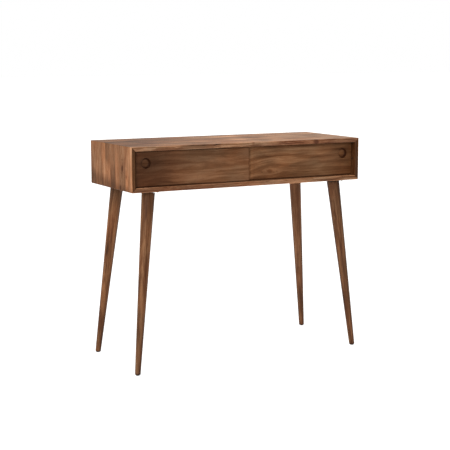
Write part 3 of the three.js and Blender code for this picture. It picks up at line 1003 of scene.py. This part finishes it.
LEG_STEPS = (0.05, 0.2, 0.4, 0.6, 0.8, 0.95)  # places along the leg that carry its taper
LEG_HEEL = 1 * MM  # how far up its axis the foot's rounding starts
LEG_TOP_EASE = 1.6 * MM
LEG_SIDES = 72
PLATE_CORNER = 8 * MM
PLATE_EASE = 0.5 * MM
BOLT_HOLE = 4.6 * MM
DIMPLE = 15 * MM  # radius of the plate's slanting middle
BLEND = 21.5 * MM  # radius where the plate is flat again
PLATE_RINGS = (BOLT_HOLE, 10 * MM, DIMPLE, 16.5 * MM, 18 * MM, 19.5 * MM, BLEND, None)
PLATE_SIDES = 72
PLATE_SCREW = {"head": 3.8 * MM, "rise": 2.2 * MM, "shank": 1.9 * MM, "length": 10.8 * MM}
BACK_SCREW = {"head": 3.0 * MM, "rise": 1.8 * MM, "shank": 1.5 * MM, "length": 13 * MM}
GLIDE_RIM = 1.1 * MM
GLIDE_ROUNDING = 1.02  # the CAD's many-sided disc is a little narrower than this round one
GLIDE_SIDES = 48
NAIL_RADIUS, NAIL_LENGTH, NAIL_TIP = 1.2 * MM, 9 * MM, 2 * MM
THREAD_PITCH = 1.3 * MM
THREAD_ROOT = 0.72  # share of the shank's radius between the threads
SCREW_TIP = 3 * MM
SCREW_SIDES = 28


def leg_axis(corner):
    """(point on the floor, point at the case's underside) of a leg's axis."""
    plate_low, plate_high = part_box(f"{corner}_leg_plate")
    glide_low, glide_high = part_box(f"{corner}_foot_glide")
    foot = (glide_low + glide_high) / 2
    top = (plate_low + plate_high) / 2
    return Vector((foot.x, foot.y, 0)), Vector((top.x, top.y, UNDERSIDE_Z))


def make_leg(corner):
    """A turned leg with a rounded foot, sawn level where it stands on its glide."""
    foot, top = leg_axis(corner)
    length = (top - foot).length
    leg_top = length * (1 - LEG_TOP_DROP / UNDERSIDE_Z)

    def radius(height):
        return LEG_FOOT_RADIUS + (LEG_TOP_RADIUS - LEG_FOOT_RADIUS) * height / length

    profile = [(0, LEG_HEEL)]
    for t in range(0, 91, 15):
        inward, up = 1 - math.sin(math.radians(t)), 1 - math.cos(math.radians(t))
        profile.append((LEG_FOOT_RADIUS - FOOT_ROUND * inward, LEG_HEEL + FOOT_ROUND * up))
    for share in LEG_STEPS:
        profile.append((radius(leg_top * share), leg_top * share))
    for t in range(0, 91, 18):
        inward, down = 1 - math.cos(math.radians(t)), 1 - math.sin(math.radians(t))
        profile.append((radius(leg_top) - LEG_TOP_EASE * inward, leg_top - LEG_TOP_EASE * down))
    profile.append((0, leg_top))
    name = f"{corner}_leg"
    turn = (top - foot).to_track_quat("Z", "Y").to_matrix().to_4x4()
    obj = lathe(name, profile, LEG_SIDES, Matrix.Translation(foot) @ turn)
    reach = 50 * MM
    sole_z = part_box(name)[0].z
    low = (foot.x - reach, foot.y - reach, -reach)
    high = (foot.x + reach, foot.y + reach, sole_z)
    carve(obj, [box_object(low, high)])
    smooth(obj, HARDWARE_CREASE)
    set_grain(obj, grain_axes(top - foot, (0, 1, 0), foot))
    finish_piece(obj, leg_wood[corner], "table_frame", name)


def make_plate(corner):
    """A pressed plate: flat and round-cornered, with a dimple whose face is square to the leg."""
    name = f"{corner}_leg_plate"
    low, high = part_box(name)
    foot, top = leg_axis(corner)
    lean = (top - foot).normalized()
    centre = Vector(((low.x + high.x) / 2, (low.y + high.y) / 2, 0))
    half = (high.x - low.x) / 2
    flat_z = high.z - PLATE_THICKNESS
    boss_z = UNDERSIDE_Z - LEG_TOP_DROP + FIT

    def rim(angle):
        """How far the rounded square's edge is from the centre, in this direction."""
        c, s = abs(math.cos(angle)), abs(math.sin(angle))
        inner = half - PLATE_CORNER
        reach = min(half / max(c, TINY), half / max(s, TINY))
        if reach * c <= inner or reach * s <= inner:
            return reach
        along = inner * (c + s)
        return along + math.sqrt(along * along - 2 * inner * inner + PLATE_CORNER * PLATE_CORNER)

    def slanted(x, y):
        return boss_z - (x * lean.x + y * lean.y) / lean.z

    def underside(x, y, reach):
        share = clamp((reach - DIMPLE) / (BLEND - DIMPLE))
        share = share * share * (3 - 2 * share)
        return min(slanted(x, y), flat_z) * (1 - share) + flat_z * share

    bm = bmesh.new()
    rings = []
    for radius in PLATE_RINGS:
        ring = []
        for i in range(PLATE_SIDES):
            angle = 2 * math.pi * i / PLATE_SIDES
            reach = radius if radius else rim(angle)
            x, y = reach * math.cos(angle), reach * math.sin(angle)
            ring.append(bm.verts.new((centre.x + x, centre.y + y, underside(x, y, reach))))
        rings.append(ring)
    upper = [[bm.verts.new((v.co.x, v.co.y, high.z)) for v in rings[k]] for k in (-1, 0)]
    order = rings + upper
    for inner, outer in zip(order, order[1:] + order[:1]):
        for i in range(PLATE_SIDES):
            j = (i + 1) % PLATE_SIDES
            bm.faces.new((inner[i], inner[j], outer[j], outer[i]))

    def is_rim_edge(a, b):
        outside = all(math.hypot(v.x - centre.x, v.y - centre.y) > 25 * MM for v in (a, b))
        return outside and abs(a.z - b.z) < NEAR

    ease(bm, is_rim_edge, PLATE_EASE, 2)
    obj = link(name, bm)
    smooth(obj, HARDWARE_CREASE)
    finish_piece(obj, black_steel, "table_frame", name)


def make_glide(corner):
    """A nail-on glide: a thick disc with a rounded rim, and a nail that runs up into the foot."""
    name = f"{corner}_foot_glide"
    foot, _ = leg_axis(corner)
    low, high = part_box(name)
    radius = (high.x - low.x) / 2 * GLIDE_ROUNDING
    inner = radius - GLIDE_RIM
    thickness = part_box(f"{corner}_leg")[0].z - FIT
    profile = [(0, 0), (inner, 0)]
    for t in (20, 40, 60, 80, 90):
        angle = math.radians(t)
        up = GLIDE_RIM - GLIDE_RIM * math.cos(angle)
        profile.append((inner + GLIDE_RIM * math.sin(angle), up))
    profile += [
        (radius, thickness),
        (NAIL_RADIUS, thickness),
        (NAIL_RADIUS, thickness + NAIL_LENGTH),
        (0, thickness + NAIL_LENGTH + NAIL_TIP),
    ]
    obj = lathe(name, profile, GLIDE_SIDES, Matrix.Translation(foot))
    smooth(obj, HARDWARE_CREASE)
    finish_piece(obj, nylon, "table_frame", name)


def screw_mesh(name, head, rise, shank, length):
    """A pan-head screw with a cross recess and a threaded shank, point up +Z.

    head and shank are radii, and rise is the head's height.
    """
    root = shank * THREAD_ROOT
    profile = []
    for t in range(0, 91, 15):
        angle = math.radians(t)
        profile.append((head * math.sin(angle), -rise * (0.35 + 0.65 * math.cos(angle))))
    profile += [(head, 0), (shank, 0)]
    height = 1.5 * MM
    while height < length - SCREW_TIP:
        profile += [(root, height), (root, height + THREAD_PITCH * 0.6)]
        profile.append((shank, height + THREAD_PITCH * 0.8))
        height += THREAD_PITCH
    profile += [(root, length - SCREW_TIP), (0, length)]
    obj = lathe(name, profile, SCREW_SIDES)
    arm, half = head * 0.52, head * 0.11
    deep, outside = -rise * 0.35, -rise * 1.3
    cross = ((arm, half), (half, arm))
    carve(obj, [box_object((-x, -y, outside), (x, y, deep)) for x, y in cross])
    mesh = obj.data
    bpy.data.objects.remove(obj)
    return mesh


def place_screw(node, mesh, axis, material, turn):
    """axis is the direction of the screw's point. The head sits where the CAD screw's head does."""
    low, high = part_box(node)
    centre = (low + high) / 2
    direction = Vector(axis)
    span = abs((high - low).dot(direction))
    head = centre - direction * span / 2
    obj = bpy.data.objects.new(node, mesh.copy())
    bpy.context.scene.collection.objects.link(obj)
    head_height = -min(v.co.z for v in mesh.vertices)
    aim = direction.to_track_quat("Z", "Y").to_matrix().to_4x4()
    place = Matrix.Translation(head + direction * head_height) @ aim
    obj.data.transform(place @ Matrix.Rotation(turn, 4, "Z"))
    smooth(obj, HARDWARE_CREASE)
    finish_piece(obj, material, "table_frame", node)


plate_screw = screw_mesh("plate_screw", **PLATE_SCREW)
back_screw = screw_mesh("back_screw", **BACK_SCREW)

for number, corner in enumerate(CORNERS):
    make_leg(corner)
    make_plate(corner)
    make_glide(corner)
    for i in range(1, 5):
        node = f"{corner}_leg_plate_screw_{i}"
        turn = 0.7 * i + 1.1 * number
        place_screw(node, plate_screw, (0, 0, 1), black_steel, turn)

for i in range(1, 5):
    for row in ("upper", "lower"):
        node = f"back_panel_{row}_screw_{i}"
        place_screw(node, back_screw, (0, -1, 0), zinc_steel, 0.9 * i)


# ---------------------------------------------------------------- small pads and plain CAD pieces

BUMPER_RIM = 0.35 * MM
BUMPER_SIDES = 32


def make_bumper(node):
    """A round pad on the side board, where a door's end meets it."""
    low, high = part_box(node)
    centre = (low + high) / 2
    side = -1 if centre.x < 0 else 1
    radius, thickness = (high.z - low.z) / 2, high.x - low.x
    inner, shoulder = radius - BUMPER_RIM, thickness - BUMPER_RIM
    profile = [(0, 0), (radius, 0), (radius, shoulder)]
    for t in (30, 60, 90):
        angle = math.radians(t)
        out, up = BUMPER_RIM * math.cos(angle), BUMPER_RIM * math.sin(angle)
        profile.append((inner + out, shoulder + up))
    profile.append((0, thickness))
    wall = Vector((high.x if side > 0 else low.x, centre.y, centre.z))
    turn = Vector((-side, 0, 0)).to_track_quat("Z", "Y").to_matrix().to_4x4()
    obj = lathe(node, profile, BUMPER_SIDES, Matrix.Translation(wall) @ turn)
    smooth(obj, HARDWARE_CREASE)
    finish_piece(obj, felt, "table_frame", node)


for track in TRACKS:
    for side_name in ("left", "right"):
        make_bumper(f"{track}_track_{side_name}_bumper")

# These keep the CAD's own shape.
SPLINE_CORNERS = ("top_left", "top_right", "bottom_left", "bottom_right")
CAD_FINISHES = {
    "back_panel": back_wood,
    "centre_divider": divider_wood,
    "front_track_strip": nylon,
    "rear_track_strip": nylon,
    **{f"mitre_spline_{corner}": spline_wood for corner in SPLINE_CORNERS},
    **{f"{corner}_hanger_bolt": zinc_steel for corner in CORNERS},
}
for node, material in CAD_FINISHES.items():
    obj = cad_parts[node]
    obj.data.materials.clear()
    obj.data.materials.append(material)


# ---------------------------------------------------------------- stage, light and camera

FLOOR_REACH = 40.0
FLOOR_GLOW = 0.88
FLOOR_DROP = 0.2 * MM  # below the feet, so that the two don't share a plane
HORIZON_LIGHT, OVERHEAD_LIGHT = 0.22, 1.25
OVERHEAD_RISE = 0.9  # height of the direction, from 0 to 1, where the overhead light is reached


def pale_floor():
    """A pale, matt floor. From below it is clear, so that the table's underside can be seen."""
    bm = bmesh.new()
    bmesh.ops.create_grid(bm, x_segments=1, y_segments=1, size=FLOOR_REACH)
    floor = link("floor", bm)
    floor.location.z = -FLOOR_DROP
    g = Graph("pale floor")
    mottle = g.noise(g.object_place(), 3.0, 2.0)
    g.put(g.shader.inputs["Base Color"], g.mix(mottle, grey(0.30), grey(0.34)))
    g.put(g.shader.inputs["Roughness"], 0.9)
    g.put(g.shader.inputs["Specular IOR Level"], 0.0)
    g.put(g.shader.inputs["Emission Color"], grey(1.0))
    g.put(g.shader.inputs["Emission Strength"], FLOOR_GLOW)
    backfacing = g.node("ShaderNodeNewGeometry").outputs["Backfacing"]
    sides = g.node("ShaderNodeMixShader", {0: backfacing})
    g.tree.links.new(g.shader.outputs[0], sides.inputs[1])
    g.tree.links.new(g.node("ShaderNodeBsdfTransparent").outputs[0], sides.inputs[2])
    output = g.tree.nodes["Material Output"]
    g.tree.links.new(sides.outputs[0], output.inputs["Surface"])
    floor.data.materials.append(g.material)


def studio_world():
    """White to the camera. Its light is dim at the horizon and bright overhead."""
    world = bpy.data.worlds.new("studio")
    bpy.context.scene.world = world
    world.use_nodes = True
    tree = world.node_tree
    sky = tree.nodes["Background"]
    sky.inputs["Color"].default_value = (1, 1, 1, 1)
    direction = tree.nodes.new("ShaderNodeTexCoord")
    split = tree.nodes.new("ShaderNodeSeparateXYZ")
    rise = tree.nodes.new("ShaderNodeMapRange")
    seen = tree.nodes.new("ShaderNodeLightPath")
    choose = tree.nodes.new("ShaderNodeMix")
    ends = {"From Max": OVERHEAD_RISE, "To Min": HORIZON_LIGHT, "To Max": OVERHEAD_LIGHT}
    for key, value in ends.items():
        rise.inputs[key].default_value = value
    choose.inputs[3].default_value = 1.0
    tree.links.new(direction.outputs["Generated"], split.inputs[0])
    tree.links.new(split.outputs["Z"], rise.inputs["Value"])
    tree.links.new(seen.outputs["Is Camera Ray"], choose.inputs[0])
    tree.links.new(rise.outputs[0], choose.inputs[2])
    tree.links.new(choose.outputs[0], sky.inputs["Strength"])


def sun(name, azimuth, elevation, spread, strength):
    """A far softbox, in degrees. azimuth is to the left of the table's front."""
    lamp = bpy.data.lights.new(name, "SUN")
    lamp.energy = strength
    lamp.angle = math.radians(spread)
    obj = bpy.data.objects.new(name, lamp)
    a, e = math.radians(azimuth), math.radians(elevation)
    source = Vector((-math.sin(a) * math.cos(e), -math.cos(a) * math.cos(e), math.sin(e)))
    obj.rotation_euler = (-source).to_track_quat("-Z", "Y").to_euler()
    obj.location = source * 3  # a sun shines alike from any distance
    bpy.context.scene.collection.objects.link(obj)


def softbox(name, location, target, size, power):
    """A near softbox, whose light falls off along the table."""
    lamp = bpy.data.lights.new(name, "AREA")
    lamp.shape = "RECTANGLE"
    lamp.size, lamp.size_y = size
    lamp.energy = power
    obj = bpy.data.objects.new(name, lamp)
    obj.location = location
    obj.rotation_euler = (Vector(target) - Vector(location)).to_track_quat("-Z", "Y").to_euler()
    obj.visible_camera = False
    bpy.context.scene.collection.objects.link(obj)


pale_floor()
studio_world()
sun("key softbox", azimuth=76, elevation=38, spread=55, strength=2.2)
sun("fill softbox", azimuth=44, elevation=20, spread=16, strength=1.35)
softbox("top softbox", (0.50, -0.36, 1.55), target=(0.40, 0, 0.76), size=(0.6, 0.4), power=6.0)

scene = bpy.context.scene
scene.view_settings.view_transform = "Standard"

CAMERA_PLACE = (-1.9577, -3.6032, 1.0727)
CAMERA_YAW, CAMERA_PITCH = math.radians(28.44), math.radians(8.59)  # to the right, and down
camera_data = bpy.data.cameras.new("camera")
camera_data.lens = 92.57
camera_data.sensor_width = 36
camera = bpy.data.objects.new("camera", camera_data)
camera.location = CAMERA_PLACE
camera.rotation_euler = (math.radians(90) - CAMERA_PITCH, 0, -CAMERA_YAW)
scene.collection.objects.link(camera)
scene.camera = camera

bpy.context.view_layer.update()
